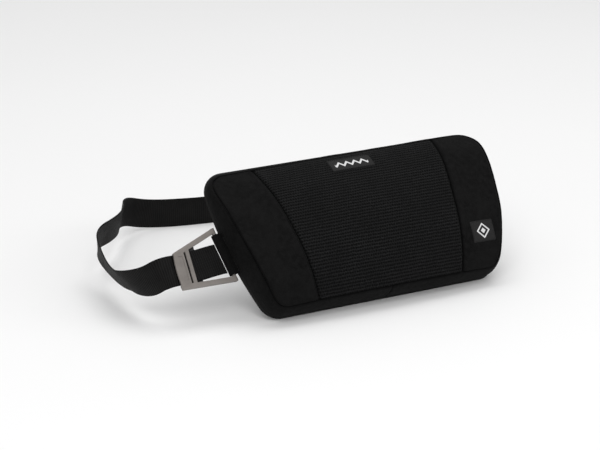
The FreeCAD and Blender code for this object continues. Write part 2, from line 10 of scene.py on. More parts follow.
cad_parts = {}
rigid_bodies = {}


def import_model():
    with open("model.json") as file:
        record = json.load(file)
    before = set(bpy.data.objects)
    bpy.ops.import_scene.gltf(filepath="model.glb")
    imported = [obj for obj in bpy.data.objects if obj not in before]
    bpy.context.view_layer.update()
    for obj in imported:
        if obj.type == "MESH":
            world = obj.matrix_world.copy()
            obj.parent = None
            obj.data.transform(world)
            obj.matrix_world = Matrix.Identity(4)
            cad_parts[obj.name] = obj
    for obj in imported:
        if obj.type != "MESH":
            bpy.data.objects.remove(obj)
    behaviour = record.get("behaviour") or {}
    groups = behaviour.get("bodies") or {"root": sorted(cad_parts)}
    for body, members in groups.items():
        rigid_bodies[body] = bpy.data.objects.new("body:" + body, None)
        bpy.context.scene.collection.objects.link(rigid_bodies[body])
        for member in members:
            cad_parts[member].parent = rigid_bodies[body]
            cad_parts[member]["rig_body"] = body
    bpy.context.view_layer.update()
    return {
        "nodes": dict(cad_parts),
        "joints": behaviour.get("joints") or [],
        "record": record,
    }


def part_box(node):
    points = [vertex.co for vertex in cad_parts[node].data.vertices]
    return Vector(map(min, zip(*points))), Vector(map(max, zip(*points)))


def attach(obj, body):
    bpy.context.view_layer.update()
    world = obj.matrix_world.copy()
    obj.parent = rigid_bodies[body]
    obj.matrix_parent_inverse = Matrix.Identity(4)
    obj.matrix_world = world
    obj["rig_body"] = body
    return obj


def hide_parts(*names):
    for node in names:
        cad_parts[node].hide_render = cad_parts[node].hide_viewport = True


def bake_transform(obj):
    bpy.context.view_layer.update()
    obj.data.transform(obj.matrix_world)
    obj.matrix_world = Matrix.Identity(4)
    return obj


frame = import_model()

# ---------------------------------------------------------------- places and sizes
# Lengths are in millimetres in the cushion's own frame (X across, Y up the back panel,
# Z out of the front, zero on the back panel's face) until to_row() turns them into
# metres in the row frame.

MM = 0.001
JOINTS = {j["name"]: j for j in frame["joints"]}
MOUNTS = {m["name"]: m for m in frame["record"]["mounts"]}
RING_AXIS = Vector(JOINTS["left_ring_swing"]["axis"])
RING_CENTRE = Vector(JOINTS["left_ring_swing"]["pos_m"])

ACROSS = Vector((1, 0, 0))
UP = Vector(JOINTS["zip_pull_swing"]["axis"])
OUT = -Vector(MOUNTS["back_face"]["axis"])
BACK_FACE_UP = 35.0             # the back_face mount above half height
ORIGIN = Vector(MOUNTS["back_face"]["pos_m"]) - UP * (BACK_FACE_UP * MM)
AXES = np.array([ACROSS, UP, OUT])
INWARD = RING_AXIS.cross(OUT).normalized()      # from the ring into the cushion

WIDTH, HEIGHT = 311.0, 162.0
SIDE_TAPER = math.tan(math.radians(10.2))
SIDE_BOW = 9.0
TOP_RADIUS, BOTTOM_RADIUS = 24.0, 15.0
TOP_DEPTH, BOTTOM_DEPTH, CROWN_DEPTH = 8.8, 29.7, 45.5
CROWN_POWER = 2.36              # how full the crown is between top and bottom
END_FALL = 7.5                  # how much shallower the crown is at the two ends
FULLER_CORNER = 8.0             # the filling stands higher at the upper right
SEAM_INSET = 4.7                # the front seam in from the widest outline
BACK_INSET = 1.6                # the back seam in from the widest outline
SEAM_MID = 94.5                 # panel seams from the middle, at half height
SEAM_TAPER = math.tan(math.radians(7.8))
SEAM_SINK = 1.2                 # how deep a seam starts below the crown
PUFF = 2.2                      # how far the simulation lifts a panel between its seams
COVER = 0.9                     # thickness of the cover cloth
ZIP_UP, ZIP_HALF_HIGH, ZIP_HALF_LONG = -42.0, 6.0, 110.4
FOAM_SHRINK, FOAM_LIFT = 2.6, 3.2       # the foam inside the cover, and off the back panel


def to_row(points):
    return np.array(ORIGIN) + MM * np.asarray(points, float) @ AXES


def to_cushion(points):
    return (np.asarray(points, float) - np.array(ORIGIN)) @ AXES.T / MM


# ---------------------------------------------------------------- mesh helpers

def mesh_object(name, points, faces, smooth=True):
    mesh = bpy.data.meshes.new(name)
    mesh.from_pydata([tuple(p) for p in points], [], [tuple(f) for f in faces])
    mesh.update()
    for polygon in mesh.polygons:
        polygon.use_smooth = smooth
    piece = bpy.data.objects.new(name, mesh)
    bpy.context.scene.collection.objects.link(piece)
    return piece


def read(data, field, width):
    flat = np.zeros(len(data) * width)
    data.foreach_get(field, flat)
    return flat.reshape(-1, width)


def coordinates(mesh):
    return read(mesh.vertices, "co", 3)


def set_coordinates(mesh, points):
    mesh.vertices.foreach_set("co", np.asarray(points, float).ravel())
    mesh.update()


def settle(piece):
    """Applies every modifier on the piece."""
    graph = bpy.context.evaluated_depsgraph_get()
    graph.update()
    mesh = bpy.data.meshes.new_from_object(piece.evaluated_get(graph), depsgraph=graph)
    piece.modifiers.clear()
    old, piece.data = piece.data, mesh
    mesh.name = piece.name
    bpy.data.meshes.remove(old)
    return piece


def thickened(piece, thickness):
    """Gives a sheet its thickness, in millimetres, on its inner side."""
    modifier = piece.modifiers.new("thickness", "SOLIDIFY")
    modifier.thickness = thickness * MM
    modifier.offset = -1
    return settle(piece)


def lay_cloth(piece, spots):
    """Sets the cloth map: millimetres across and along, a pair for each face corner."""
    layer = piece.data.uv_layers.get("cloth") or piece.data.uv_layers.new(name="cloth")
    layer.uv.foreach_set("vector", MM * np.asarray(spots, float).ravel())


def subdivided(piece, levels):
    modifier = piece.modifiers.new("smooth", "SUBSURF")
    modifier.levels = modifier.render_levels = levels
    return settle(piece)


def bevelled(piece, width, segments):
    """Flattens out a CAD mesh's triangles and rounds its edges; width is in millimetres."""
    work = bmesh.new()
    work.from_mesh(piece.data)
    bmesh.ops.remove_doubles(work, verts=work.verts, dist=1e-6)
    bmesh.ops.dissolve_limit(work, angle_limit=math.radians(1), verts=work.verts,
                             edges=work.edges)
    work.to_mesh(piece.data)
    work.free()
    modifier = piece.modifiers.new("edges", "BEVEL")
    modifier.width = width * MM
    modifier.segments = segments
    modifier.limit_method = "ANGLE"
    modifier.angle_limit = math.radians(30)
    modifier.use_clamp_overlap = True
    modifier.harden_normals = False
    settle(piece)
    for polygon in piece.data.polygons:
        polygon.use_smooth = True
    modifier = piece.modifiers.new("shading", "WEIGHTED_NORMAL")
    modifier.keep_sharp = True
    return settle(piece)


def softened(node, name, width, segments=3):
    """A copy of a CAD node with rounded edges, riding where the node rides."""
    source = frame["nodes"][node]
    piece = bpy.data.objects.new(name, source.data.copy())
    piece.data.materials.clear()
    bpy.context.scene.collection.objects.link(piece)
    bevelled(piece, width, segments)
    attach(piece, source["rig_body"])
    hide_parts(node)
    return piece


def finish_piece(piece, body, slot, *nodes, look=None):
    """Gives a piece the slot's material or another one, rides it on its body if one is given, and
    hides its nodes.
    """
    piece.data.materials.clear()
    piece.data.materials.append(MATERIALS[look or slot])
    if body:
        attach(piece, body)
    if nodes:
        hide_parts(*nodes)
    return piece


def ease(values):
    values = np.clip(values, 0, 1)
    return values * values * (3 - 2 * values)


def noise_at(points, size, seed):
    """Smooth noise from -1 to 1 at points in millimetres, with features of that size."""
    shift = Vector((seed * 7.3, seed * 3.1, seed * 5.7))
    return np.array([noise.noise(Vector(p) / size + shift) for p in points])


# ---------------------------------------------------------------- materials

class Net:
    """Short names for the shader nodes that the materials use."""

    def __init__(self, name, roughness, sheen=0.0, sheen_roughness=0.5, specular=0.5):
        self.material = bpy.data.materials.new(name)
        self.material.use_nodes = True
        self.tree = self.material.node_tree
        self.shader = self.tree.nodes["Principled BSDF"]
        self.set("Roughness", roughness)
        self.set("Sheen Weight", sheen)
        self.set("Sheen Roughness", sheen_roughness)
        self.set("Specular IOR Level", specular)

    def set(self, socket, value):
        self.shader.inputs[socket].default_value = value

    def link(self, value, socket):
        if isinstance(value, bpy.types.NodeSocket):
            self.tree.links.new(value, socket)
        else:
            socket.default_value = value

    def node(self, kind, **inputs):
        node = self.tree.nodes.new(kind)
        for key, value in inputs.items():
            self.link(value, node.inputs[key])
        return node

    def math(self, operation, first, second=0.0):
        node = self.tree.nodes.new("ShaderNodeMath")
        node.operation = operation
        self.link(first, node.inputs[0])
        self.link(second, node.inputs[1])
        return node.outputs[0]

    def times(self, first, second):
        return self.math("MULTIPLY", first, second)

    def plus(self, first, second):
        return self.math("ADD", first, second)

    def patches(self, size, low=0.3, high=0.7):
        """Soft patches from 0 to 1, of a size in millimetres."""
        return self.step(self.noise(self.place(), size), low, high)

    def mix(self, share, first, second):
        node = self.tree.nodes.new("ShaderNodeMix")
        node.data_type = "RGBA"
        self.link(share, node.inputs["Factor"])
        self.link(first, node.inputs[6])
        self.link(second, node.inputs[7])
        return node.outputs[2]

    def step(self, value, low, high):
        node = self.tree.nodes.new("ShaderNodeMapRange")
        node.interpolation_type = "SMOOTHSTEP"
        self.link(value, node.inputs["Value"])
        node.inputs["From Min"].default_value = low
        node.inputs["From Max"].default_value = high
        return node.outputs["Result"]

    def cloth_map(self):
        """Millimetres across and along the cloth, from the piece's own map."""
        source = self.tree.nodes.new("ShaderNodeUVMap")
        source.uv_map = "cloth"
        parts = self.node("ShaderNodeSeparateXYZ", Vector=source.outputs[0])
        across = self.times(parts.outputs[0], 1000.0)
        return across, self.times(parts.outputs[1], 1000.0)

    def place(self):
        """The surface's place in millimetres."""
        source = self.tree.nodes.new("ShaderNodeTexCoord")
        scaled = self.tree.nodes.new("ShaderNodeVectorMath")
        scaled.operation = "SCALE"
        self.link(source.outputs["Object"], scaled.inputs[0])
        scaled.inputs["Scale"].default_value = 1000.0
        return scaled.outputs[0]

    def shade_seams(self, colour, share=0.85):
        """The colour with painted shade along the seams: dark where the piece's own seam mark is
        high.
        """
        source = self.tree.nodes.new("ShaderNodeAttribute")
        source.attribute_name = "seam"
        seam_shade = self.step(source.outputs["Fac"], 0.45, 0.95)
        # painted shade: the colour is mixed towards near-black where the seam mark is high
        return self.mix(self.times(seam_shade, share), colour, grey(0.0006))

    def noise(self, vector, size, detail=3.0):
        node = self.node("ShaderNodeTexNoise", Vector=vector, Scale=1.0 / size, Detail=detail)
        return node.outputs[0]

    def bump(self, height, depth, before=None):
        """depth is in millimetres."""
        node = self.node("ShaderNodeBump", Height=height, Distance=depth * MM)
        node.inputs["Strength"].default_value = 1.0
        if before is not None:
            self.tree.links.new(before, node.inputs["Normal"])
        return node.outputs[0]

    def done(self, colour, normal=None, roughness=None):
        self.link(colour, self.shader.inputs["Base Color"])
        if normal is not None:
            self.tree.links.new(normal, self.shader.inputs["Normal"])
        if roughness is not None:
            self.link(roughness, self.shader.inputs["Roughness"])
        return self.material


def ridge(net, value, pitch, shift=0.0):
    turns = net.times(value, 2 * math.pi / pitch)
    shifted = net.plus(turns, shift)
    half = net.times(net.math("COSINE", shifted), 0.5)
    return net.plus(half, 0.5)


def grey(level, tint=(1.0, 1.0, 1.0)):
    return (level * tint[0], level * tint[1], level * tint[2], 1.0)


def mesh_cloth():
    """Spacer mesh: crosswise bands of knots with small holes between them."""
    net = Net("mesh_cloth", 0.8, sheen=0.02, sheen_roughness=0.4, specular=0.05)
    across, along = net.cloth_map()
    wobble = net.times(net.noise(net.place(), 9.0, 2.0), 1.2)
    along = net.plus(along, wobble)
    band = ridge(net, along, 3.4)
    row = net.math("FLOOR", net.math("DIVIDE", along, 3.4))
    odd = net.times(net.math("MODULO", row, 2.0), math.pi)
    knot = ridge(net, across, 2.7, odd)
    spot = net.node("ShaderNodeCombineXYZ", X=across, Y=net.times(along, 1.9))
    dash = net.noise(spot.outputs[0], 2.1, 2.0)
    woven = net.plus(net.times(band, 0.34), net.times(knot, 0.22))
    thread = net.step(net.plus(woven, net.times(dash, 0.75)), 0.35, 0.95)
    patch = net.step(net.noise(net.place(), 26.0, 2.0), 0.3, 0.75)
    fleck = net.step(net.noise(net.place(), 1.3, 1.0), 0.35, 0.75)
    light = net.times(thread, net.plus(net.times(fleck, 0.5), 0.6))
    base = net.mix(light, grey(0.0006), grey(0.0165, (1.0, 1.0, 1.02)))
    colour = net.mix(net.times(patch, 0.3), base, grey(0.0025))
    # painted shade darkens the mesh along its seams
    return net.done(net.shade_seams(colour), net.bump(thread, 0.6))


def suede_cloth(name="suede_cloth", level=0.0048, nap=0.02):
    """Smooth brushed cloth with a soft nap."""
    net = Net(name, 0.9, sheen=nap, sheen_roughness=0.45, specular=0.04)
    place = net.place()
    cloud = net.step(net.noise(place, 22.0, 3.0), 0.25, 0.75)
    fibre = net.noise(place, 0.7, 4.0)
    brushed = net.step(net.noise(place, 5.0, 4.0), 0.35, 0.7)
    base = net.mix(cloud, grey(level * 0.6), grey(level * 1.2, (1.03, 1.0, 1.01)))
    swept_nap = net.mix(net.times(brushed, 0.6), base, grey(level * 1.7))
    colour = net.mix(net.step(fibre, 0.4, 0.8), swept_nap, grey(level * 1.9))
    soft = net.bump(net.noise(place, 6.0, 2.0), 0.5)
    # painted shade darkens the suede along its seams
    return net.done(net.shade_seams(colour), net.bump(fibre, 0.3, soft))


def plain_weave(name, level, pitch=0.9):
    """Crossed threads at a pitch in millimetres."""
    net = Net(name, 0.85, sheen=0.03, specular=0.12)
    across, along = net.cloth_map()
    warp = ridge(net, across, pitch)
    weft = ridge(net, along, pitch, math.pi)
    thread = net.math("MAXIMUM", warp, weft)
    cloud = net.patches(12.0)
    base = net.mix(thread, grey(level * 0.45), grey(level))
    colour = net.mix(net.times(cloud, 0.4), base, grey(level * 1.35))
    return net.done(colour, net.bump(thread, 0.15))


def webbing_cloth():
    """Ribs across the width, with fine lengthways threads and a firm edge."""
    net = Net("webbing_cloth", 0.6, specular=0.1)
    across, along = net.cloth_map()
    lift = net.times(net.noise(net.place(), 5.0, 2.0), 0.8)
    rib = ridge(net, net.plus(along, lift), 2.3)
    thread = ridge(net, across, 1.1)
    height = net.plus(net.times(rib, 0.7), net.times(thread, 0.3))
    edge = net.step(net.math("ABSOLUTE", across), 14.2, 15.2)
    cloud = net.patches(14.0)
    base = net.mix(net.step(height, 0.15, 0.9), grey(0.0008), grey(0.0075, (1.0, 0.96, 0.95)))
    worn = net.mix(net.times(cloud, 0.25), base, grey(0.012, (1.0, 0.95, 0.93)))
    colour = net.mix(net.times(edge, 0.6), worn, grey(0.003))
    return net.done(colour, net.bump(height, 0.4))


def moulded_plastic(name, colour, roughness, grain=0.05, wear=1.25):
    """Fine moulded grain, cloudy gloss and slightly polished edges."""
    net = Net(name, roughness)
    place = net.place()
    grainy = net.noise(place, 0.35, 3.0)
    cloud = net.step(net.noise(place, 7.0, 3.0), 0.3, 0.7)
    geometry = net.tree.nodes.new("ShaderNodeNewGeometry")
    edge = net.step(geometry.outputs["Pointiness"], 0.505, 0.56)
    dark = tuple(c * 0.88 for c in colour) + (1.0,)
    bright = tuple(min(c * wear, 1.0) for c in colour) + (1.0,)
    base = net.mix(cloud, dark, tuple(colour) + (1.0,))
    worn = net.mix(net.times(edge, 0.7), base, bright)
    rough = net.plus(net.times(cloud, 0.1), roughness - 0.05)
    return net.done(worn, net.bump(grainy, grain), rough)


def foam_material():
    """Open-cell foam."""
    net = Net("foam_cells", 0.95, specular=0.2)
    place = net.place()
    cells = net.node("ShaderNodeTexVoronoi", Vector=place, Scale=0.9).outputs[0]
    cloud = net.noise(place, 18.0, 3.0)
    base = net.mix(net.step(cells, 0.1, 0.6), (0.42, 0.38, 0.28, 1), (0.62, 0.57, 0.45, 1))
    colour = net.mix(net.times(cloud, 0.3), base, (0.7, 0.66, 0.55, 1))
    return net.done(colour, net.bump(cells, 0.5))


def label_cloth(name, half_wide, half_high, motif):
    """Dark satin weave with darker edges and a zigzag or a diamond in its middle."""
    net = Net(name, 0.6, specular=0.15)
    across, along = net.cloth_map()
    side = net.math("ABSOLUTE", across)
    rise = net.math("ABSOLUTE", along)
    inset = net.math("MINIMUM", net.math("SUBTRACT", half_wide, side),
                     net.math("SUBTRACT", half_high, rise))
    if motif == "zigzag":
        zigzag = net.math("PINGPONG", across, 4.5)
        band = net.math("ABSOLUTE", net.math("SUBTRACT", net.math("SUBTRACT", along, zigzag),
                                             -2.25))
        mark = net.times(net.step(band, 1.5, 1.1),
                        net.step(side, half_wide - 5.5, half_wide - 5.9))
    else:
        spread = net.plus(side, rise)
        outer = net.times(net.step(spread, 8.4, 7.9), net.step(spread, 5.9, 6.4))
        mark = net.math("MAXIMUM", outer, net.step(spread, 3.2, 2.7))
    thread = ridge(net, across, 0.55)
    weave = net.times(thread, ridge(net, along, 0.7))
    hem = net.step(inset, 0.3, 1.1)
    ground = net.mix(weave, grey(0.009), grey(0.026, (1.0, 0.95, 0.94)))
    light = net.mix(weave, grey(0.6), grey(0.84))
    edged = net.mix(hem, grey(0.006), ground)
    colour = net.mix(mark, edged, light)
    height = net.plus(net.times(weave, 0.5), mark)
    return net.done(colour, net.bump(height, 0.12))


def make_materials():
    warm_grey = (0.175, 0.158, 0.145)
    return {
        "mesh": mesh_cloth(),
        "suede": suede_cloth(),
        "boxing": suede_cloth("boxing_cloth", 0.004, 0.02),
        "back": plain_weave("back_cloth", 0.009),
        "binding": plain_weave("binding_tape", 0.016, 0.8),
        "foam": foam_material(),
        "top_label": label_cloth("top_label_cloth", 25.0, 8.0, "zigzag"),
        "side_label": label_cloth("side_label_cloth", 14.0, 11.5, "diamond"),
        "webbing": webbing_cloth(),
        "ring": moulded_plastic("ring_plastic", warm_grey, 0.4, 0.03),
        "lock": moulded_plastic("lock_plastic", (0.006, 0.006, 0.006), 0.5),
        "tape": plain_weave("zip_tape_cloth", 0.008, 0.7),
        "coil": moulded_plastic("coil_nylon", (0.02, 0.02, 0.02), 0.45, 0.02),
        "zip_metal": moulded_plastic("zip_enamel", (0.025, 0.025, 0.027), 0.32, 0.02, 2.0),
        "thread": plain_weave("sewing_thread", 0.02, 0.4),
    }


MATERIALS = make_materials()


# ---------------------------------------------------------------- camera, light, floor

CAMERA_AZIMUTH, CAMERA_ELEVATION = -29.4, 19.8      # degrees
CAMERA_DISTANCE, CAMERA_LENS = 2.222, 129.3         # metres, millimetres
CAMERA_ASIDE, CAMERA_ABOVE = 0.0696, 0.0065         # the object beside the picture's middle


def make_camera():
    """The photograph's viewpoint: from the left, a little above, from about two metres."""
    azimuth, elevation = math.radians(CAMERA_AZIMUTH), math.radians(CAMERA_ELEVATION)
    target = Vector(to_row([[0, 0, 20]])[0])
    towards = Vector((math.sin(azimuth) * math.cos(elevation),
                      -math.cos(azimuth) * math.cos(elevation), math.sin(elevation)))
    right = Vector((math.cos(azimuth), math.sin(azimuth), 0))
    above = towards.cross(right)
    aim = target - right * CAMERA_ASIDE - above * CAMERA_ABOVE
    data = bpy.data.cameras.new("camera")
    data.sensor_width = 36.0
    data.lens = CAMERA_LENS
    data.clip_end = 50
    camera = bpy.data.objects.new("camera", data)
    camera.location = target + towards * CAMERA_DISTANCE
    camera.rotation_euler = (aim - camera.location).to_track_quat("-Z", "Y").to_euler()
    bpy.context.scene.collection.objects.link(camera)
    bpy.context.scene.camera = camera


def area_light(name, place, target, size, power):
    data = bpy.data.lights.new(name, "AREA")
    data.shape = "RECTANGLE"
    data.size, data.size_y = size
    data.energy = power
    light = bpy.data.objects.new(name, data)
    light.location = place
    light.rotation_euler = (Vector(target) - light.location).to_track_quat("-Z", "Y").to_euler()
    bpy.context.scene.collection.objects.link(light)


def make_studio():
    world = bpy.data.worlds.new("studio")
    bpy.context.scene.world = world
    world.use_nodes = True
    bpy.context.scene.view_settings.view_transform = "Standard"
    sky = world.node_tree.nodes["Background"]
    sky.inputs[0].default_value = (1.0, 1.0, 1.0, 1.0)
    sky.inputs[1].default_value = 0.6
    middle = (0.02, 0.05, 0.05)
    for name, place, sides, power in (("key", (-1.0, -1.6, 2.0), (1.6, 1.2), 26),
                                      ("top", (0.3, 0.4, 2.2), (1.8, 1.4), 16),
                                      ("fill", (1.9, -1.2, 0.9), (1.2, 1.0), 7)):
        area_light(name, place, middle, sides, power)
    floor = mesh_object("floor", [(-6, -6, 0), (6, -6, 0), (6, 6, 0), (-6, 6, 0)],
                        [(0, 1, 2, 3)], smooth=False)
    net = Net("floor_paint", 0.75, specular=0.2)
    cloud = net.noise(net.place(), 900.0, 2.0)
    floor.data.materials.append(net.done(net.mix(cloud, grey(0.86), grey(0.9))))


# ---------------------------------------------------------------- cushion form

def half_width(up):
    return WIDTH / 2 + SIDE_TAPER * up - SIDE_BOW * (2 * up / HEIGHT) ** 2


def outline_limit(share, inset):
    """Height and half width of the rounded outline, set in, at a share of the height."""
    up = share * (HEIGHT / 2 - inset)
    limit = half_width(up) - inset
    for side, radius in ((1, TOP_RADIUS), (-1, BOTTOM_RADIUS)):
        small = max(radius - inset, 3.0)
        over = side * up - (HEIGHT / 2 - inset - small)
        if over > 0:
            limit -= small - math.sqrt(max(small ** 2 - over ** 2, 0.0))
    return up, limit


def front_depth(across, up):
    """Depth of the front above the back panel, before the cloth swells."""
    edge = BOTTOM_DEPTH + (TOP_DEPTH - BOTTOM_DEPTH) * (up / HEIGHT + 0.5)
    mean = (BOTTOM_DEPTH + TOP_DEPTH) / 2
    rise = (CROWN_DEPTH - mean) * (1 - min(abs(2 * up / HEIGHT), 1) ** CROWN_POWER)
    fuller = FULLER_CORNER * ease((across - 40) / 90) * ease((up - 5) / 60)
    return edge + rise - END_FALL * (2 * across / WIDTH) ** 2 + fuller


def row_shares():
    """Shares of the height for the grid's rows: close together in the rounded corners."""
    half = HEIGHT / 2
    shrink = (half - BACK_INSET) / half
    rows = [-half + BOTTOM_RADIUS * (1 - math.sin(math.radians(a)))
            for a in (90, 67.5, 45, 22.5)]
    low, high = -half + BOTTOM_RADIUS, half - TOP_RADIUS
    zip_low = (ZIP_UP - ZIP_HALF_HIGH) / shrink
    zip_mid, zip_high = ZIP_UP / shrink, (ZIP_UP + ZIP_HALF_HIGH) / shrink
    rows += list(np.linspace(low, zip_low, 4, endpoint=False))
    rows += [zip_low, zip_mid]
    rows += list(np.linspace(zip_high, high, 18, endpoint=False))
    rows += [high + TOP_RADIUS * math.sin(math.radians(a)) for a in range(0, 91, 15)]
    return np.array(rows) / half


SIDE_CELLS, MIDDLE_CELLS, WALL_CELLS = 10, 36, 6
LEFT_PANEL, MIDDLE_PANEL, RIGHT_PANEL, LEFT_WALL, RIGHT_WALL, UPPER_BACK, LOWER_BACK, \
    ZIP_WINDOW = range(8)


def grid_row(share, inset, seam_at):
    """One row of places across: left panel, middle panel, right panel."""
    up, limit = outline_limit(share, inset)
    seam = min(seam_at(up), limit - 4.0)
    side = np.linspace(-limit, -seam, SIDE_CELLS, endpoint=False)
    middle = np.linspace(-seam, seam, MIDDLE_CELLS, endpoint=False)
    return up, np.concatenate([side, middle, np.linspace(seam, limit, SIDE_CELLS + 1)])


def panel_of_column(column):
    if column < SIDE_CELLS:
        return LEFT_PANEL
    return MIDDLE_PANEL if column < SIDE_CELLS + MIDDLE_CELLS else RIGHT_PANEL


def cushion_grid(shrink=0.0):
    """The closed cushion as points, faces, panel numbers, seam marks and cloth places.

    shrink makes a smaller one, for the foam inside the cover."""
    rows = row_shares()
    columns = 2 * SIDE_CELLS + MIDDLE_CELLS + 1
    points, seams, maps = [], [], []
    seam_columns = (SIDE_CELLS, SIDE_CELLS + MIDDLE_CELLS)

    def edge_cell(i, j):
        return i in (0, len(rows) - 1) or j in (0, columns - 1)

    length = 0.0
    last = None
    for i, share in enumerate(rows):
        up, places = grid_row(share, SEAM_INSET + shrink,
                              lambda v: SEAM_MID + SEAM_TAPER * v)
        middle = front_depth(0.0, up)
        if last is not None:
            length += math.hypot(up - last[0], middle - last[1])
        last = (up, middle)
        for j, across in enumerate(places):
            on_edge = edge_cell(i, j)
            sink = SEAM_SINK if on_edge or j in seam_columns else PUFF
            depth = max(front_depth(across, up) - sink - 1.3 * shrink, 3.0)
            points.append((across, up, depth))
            seams.append(1.0 if on_edge or j in seam_columns else 0.0)
            maps.append((across, length))
    back_start = len(points)
    window = (np.abs(rows * (HEIGHT / 2 - BACK_INSET) - ZIP_UP) < ZIP_HALF_HIGH + 0.1)
    middle_row = int(np.argmin(np.abs(rows * (HEIGHT / 2 - BACK_INSET) - ZIP_UP)))
    for i, share in enumerate(rows):
        up, places = grid_row(share, BACK_INSET + shrink, lambda v: ZIP_HALF_LONG)
        for j, across in enumerate(places):
            inside = seam_columns[0] <= j <= seam_columns[1]
            zipped = window[i] and (inside and i != middle_row or not inside
                                    and i == middle_row)
            points.append((across, up, 0.6 * shrink))
            seams.append(1.0 if edge_cell(i, j) or zipped else 0.0)
            maps.append((across, up))

    faces, panels, cloth = [], [], []

    def add(indices, panel, places):
        faces.append(indices)
        panels.append(panel)
        cloth.append(places)

    for i in range(len(rows) - 1):
        for j in range(columns - 1):
            a, b = i * columns + j, (i + 1) * columns + j
            quad = (a, a + 1, b + 1, b)
            add(quad, panel_of_column(j), [maps[k] for k in quad])
            flipped = tuple(k + back_start for k in reversed(quad))
            in_window = window[i] and window[i + 1] and panel_of_column(j) == MIDDLE_PANEL
            panel = (ZIP_WINDOW if in_window else
                     UPPER_BACK if i >= middle_row else LOWER_BACK)
            add(flipped, panel, [maps[k] for k in flipped])

    # the wall between the two rims, with rows of its own that bulge a little
    last_row = (len(rows) - 1) * columns
    rim = (list(range(columns - 1)) + [i * columns + columns - 1 for i in range(len(rows) - 1)]
           + [last_row + j for j in range(columns - 1, 0, -1)]
           + [i * columns for i in range(len(rows) - 1, 0, -1)])
    rings = [rim]
    for k in range(1, WALL_CELLS):
        t = k / WALL_CELLS
        ring = []
        for index in rim:
            front, back = np.array(points[index]), np.array(points[index + back_start])
            flat = np.array([front[0] / WIDTH, front[1] / HEIGHT, 0.0])
            away = flat / np.linalg.norm(flat)
            bulge = 2.6 * math.sin(math.pi * t) * min(1.0, front[2] / 20)
            ring.append(len(points))
            points.append(tuple(front + (back - front) * t + away * bulge))
            seams.append(0.6 if abs(front[0]) < 0.01 else 0.0)
        rings.append(ring)
    rings.append([index + back_start for index in rim])
    run = [0.0]
    for a, b in zip(rim, rim[1:] + rim[:1]):
        run.append(run[-1] + float(np.linalg.norm(np.array(points[a]) - np.array(points[b]))))
    for upper, lower in zip(rings, rings[1:]):
        for k in range(len(rim)):
            m = (k + 1) % len(rim)
            quad = (upper[k], lower[k], lower[m], upper[m])
            spots = [(run[k], points[upper[k]][2]), (run[k], points[lower[k]][2]),
                     (run[k + 1], points[lower[m]][2]), (run[k + 1], points[upper[m]][2])]
            middle = sum(points[q][0] for q in quad) / 4
            add(quad, LEFT_WALL if middle < 0 else RIGHT_WALL, spots)
    return np.array(points), faces, panels, np.array(seams), cloth


def swell(piece, pins, frames=18, pressure=3.2, most=6.5):
    """Cloth simulation: air pressure lifts the cloth between its pinned seams."""
    group = piece.vertex_groups.new(name="pins")
    for index, weight in enumerate(pins):
        if weight > 0:
            group.add([index], float(weight), "REPLACE")
    start = coordinates(piece.data)
    modifier = piece.modifiers.new("cloth", "CLOTH")
    cloth = modifier.settings
    cloth.quality = 6
    cloth.mass = 0.2
    cloth.tension_stiffness = cloth.compression_stiffness = 22
    cloth.shear_stiffness = 10
    cloth.bending_stiffness = 1.2
    cloth.use_pressure = True
    cloth.uniform_pressure_force = pressure
    cloth.vertex_group_mass = "pins"
    cloth.pin_stiffness = 1.0
    cloth.effector_weights.gravity = 0
    modifier.collision_settings.use_collision = False
    modifier.point_cache.frame_end = frames
    scene = bpy.context.scene
    for number in range(1, frames + 1):
        scene.frame_set(number)
    graph = bpy.context.evaluated_depsgraph_get()
    moved = coordinates(piece.evaluated_get(graph).data)
    piece.modifiers.clear()
    scene.frame_set(1)
    shift = moved - start
    reach = np.linalg.norm(shift, axis=1, keepdims=True)
    set_coordinates(piece.data, start + shift * np.minimum(1, most * MM / np.maximum(reach, 1e-9)))


def ring_faces(first, second, size):
    """Faces between two closed rings of points, which start at those indices."""
    return [(first + k, first + (k + 1) % size, second + (k + 1) % size, second + k)
            for k in range(size)]


def mapped_mesh(name, points, faces, cloth, panels, seams):
    piece = mesh_object(name, to_row(points), faces)
    lay_cloth(piece, [spot for spots in cloth for spot in spots])
    panel = piece.data.attributes.new("panel", "INT", "FACE")
    panel.data.foreach_set("value", np.array(panels, np.int32))
    seam = piece.data.attributes.new("seam", "FLOAT", "POINT")
    seam.data.foreach_set("value", np.array(seams, np.float32))
    return piece


def sew(piece):
    """Grooves and puckers along the seams, and a slight unevenness everywhere."""
    mesh = piece.data
    points = coordinates(mesh)
    local = to_cushion(points)
    seam = read(mesh.attributes["seam"].data, "value", 1)[:, 0]
    groove = np.where(local[:, 2] > 1.5, -2.1, -0.5) * ease((seam - 0.3) / 0.7)
    pucker = 0.45 * noise_at(local, 5.5, 1) * ease(seam / 0.7) * (1 - ease((seam - 0.8) / 0.2))
    uneven = 0.55 * noise_at(local, 34.0, 2) + 0.22 * noise_at(local, 13.0, 3)
    uneven *= np.where(local[:, 2] > 1.5, 1.0, 0.25) * (1 - ease((seam - 0.5) / 0.5))
    lift = MM * (groove + pucker + uneven)[:, None]
    set_coordinates(mesh, points + read(mesh.vertices, "normal", 3) * lift)


def panel_piece(source, panel, name):
    """One panel cut out of the whole cover, given the cloth's thickness."""
    piece = source.copy()
    piece.data = source.data.copy()
    piece.name = piece.data.name = name
    bpy.context.scene.collection.objects.link(piece)
    work = bmesh.new()
    work.from_mesh(piece.data)
    layer = work.faces.layers.int["panel"]
    bmesh.ops.delete(work, geom=[f for f in work.faces if f[layer] != panel], context="FACES")
    work.to_mesh(piece.data)
    work.free()
    return thickened(piece, COVER)


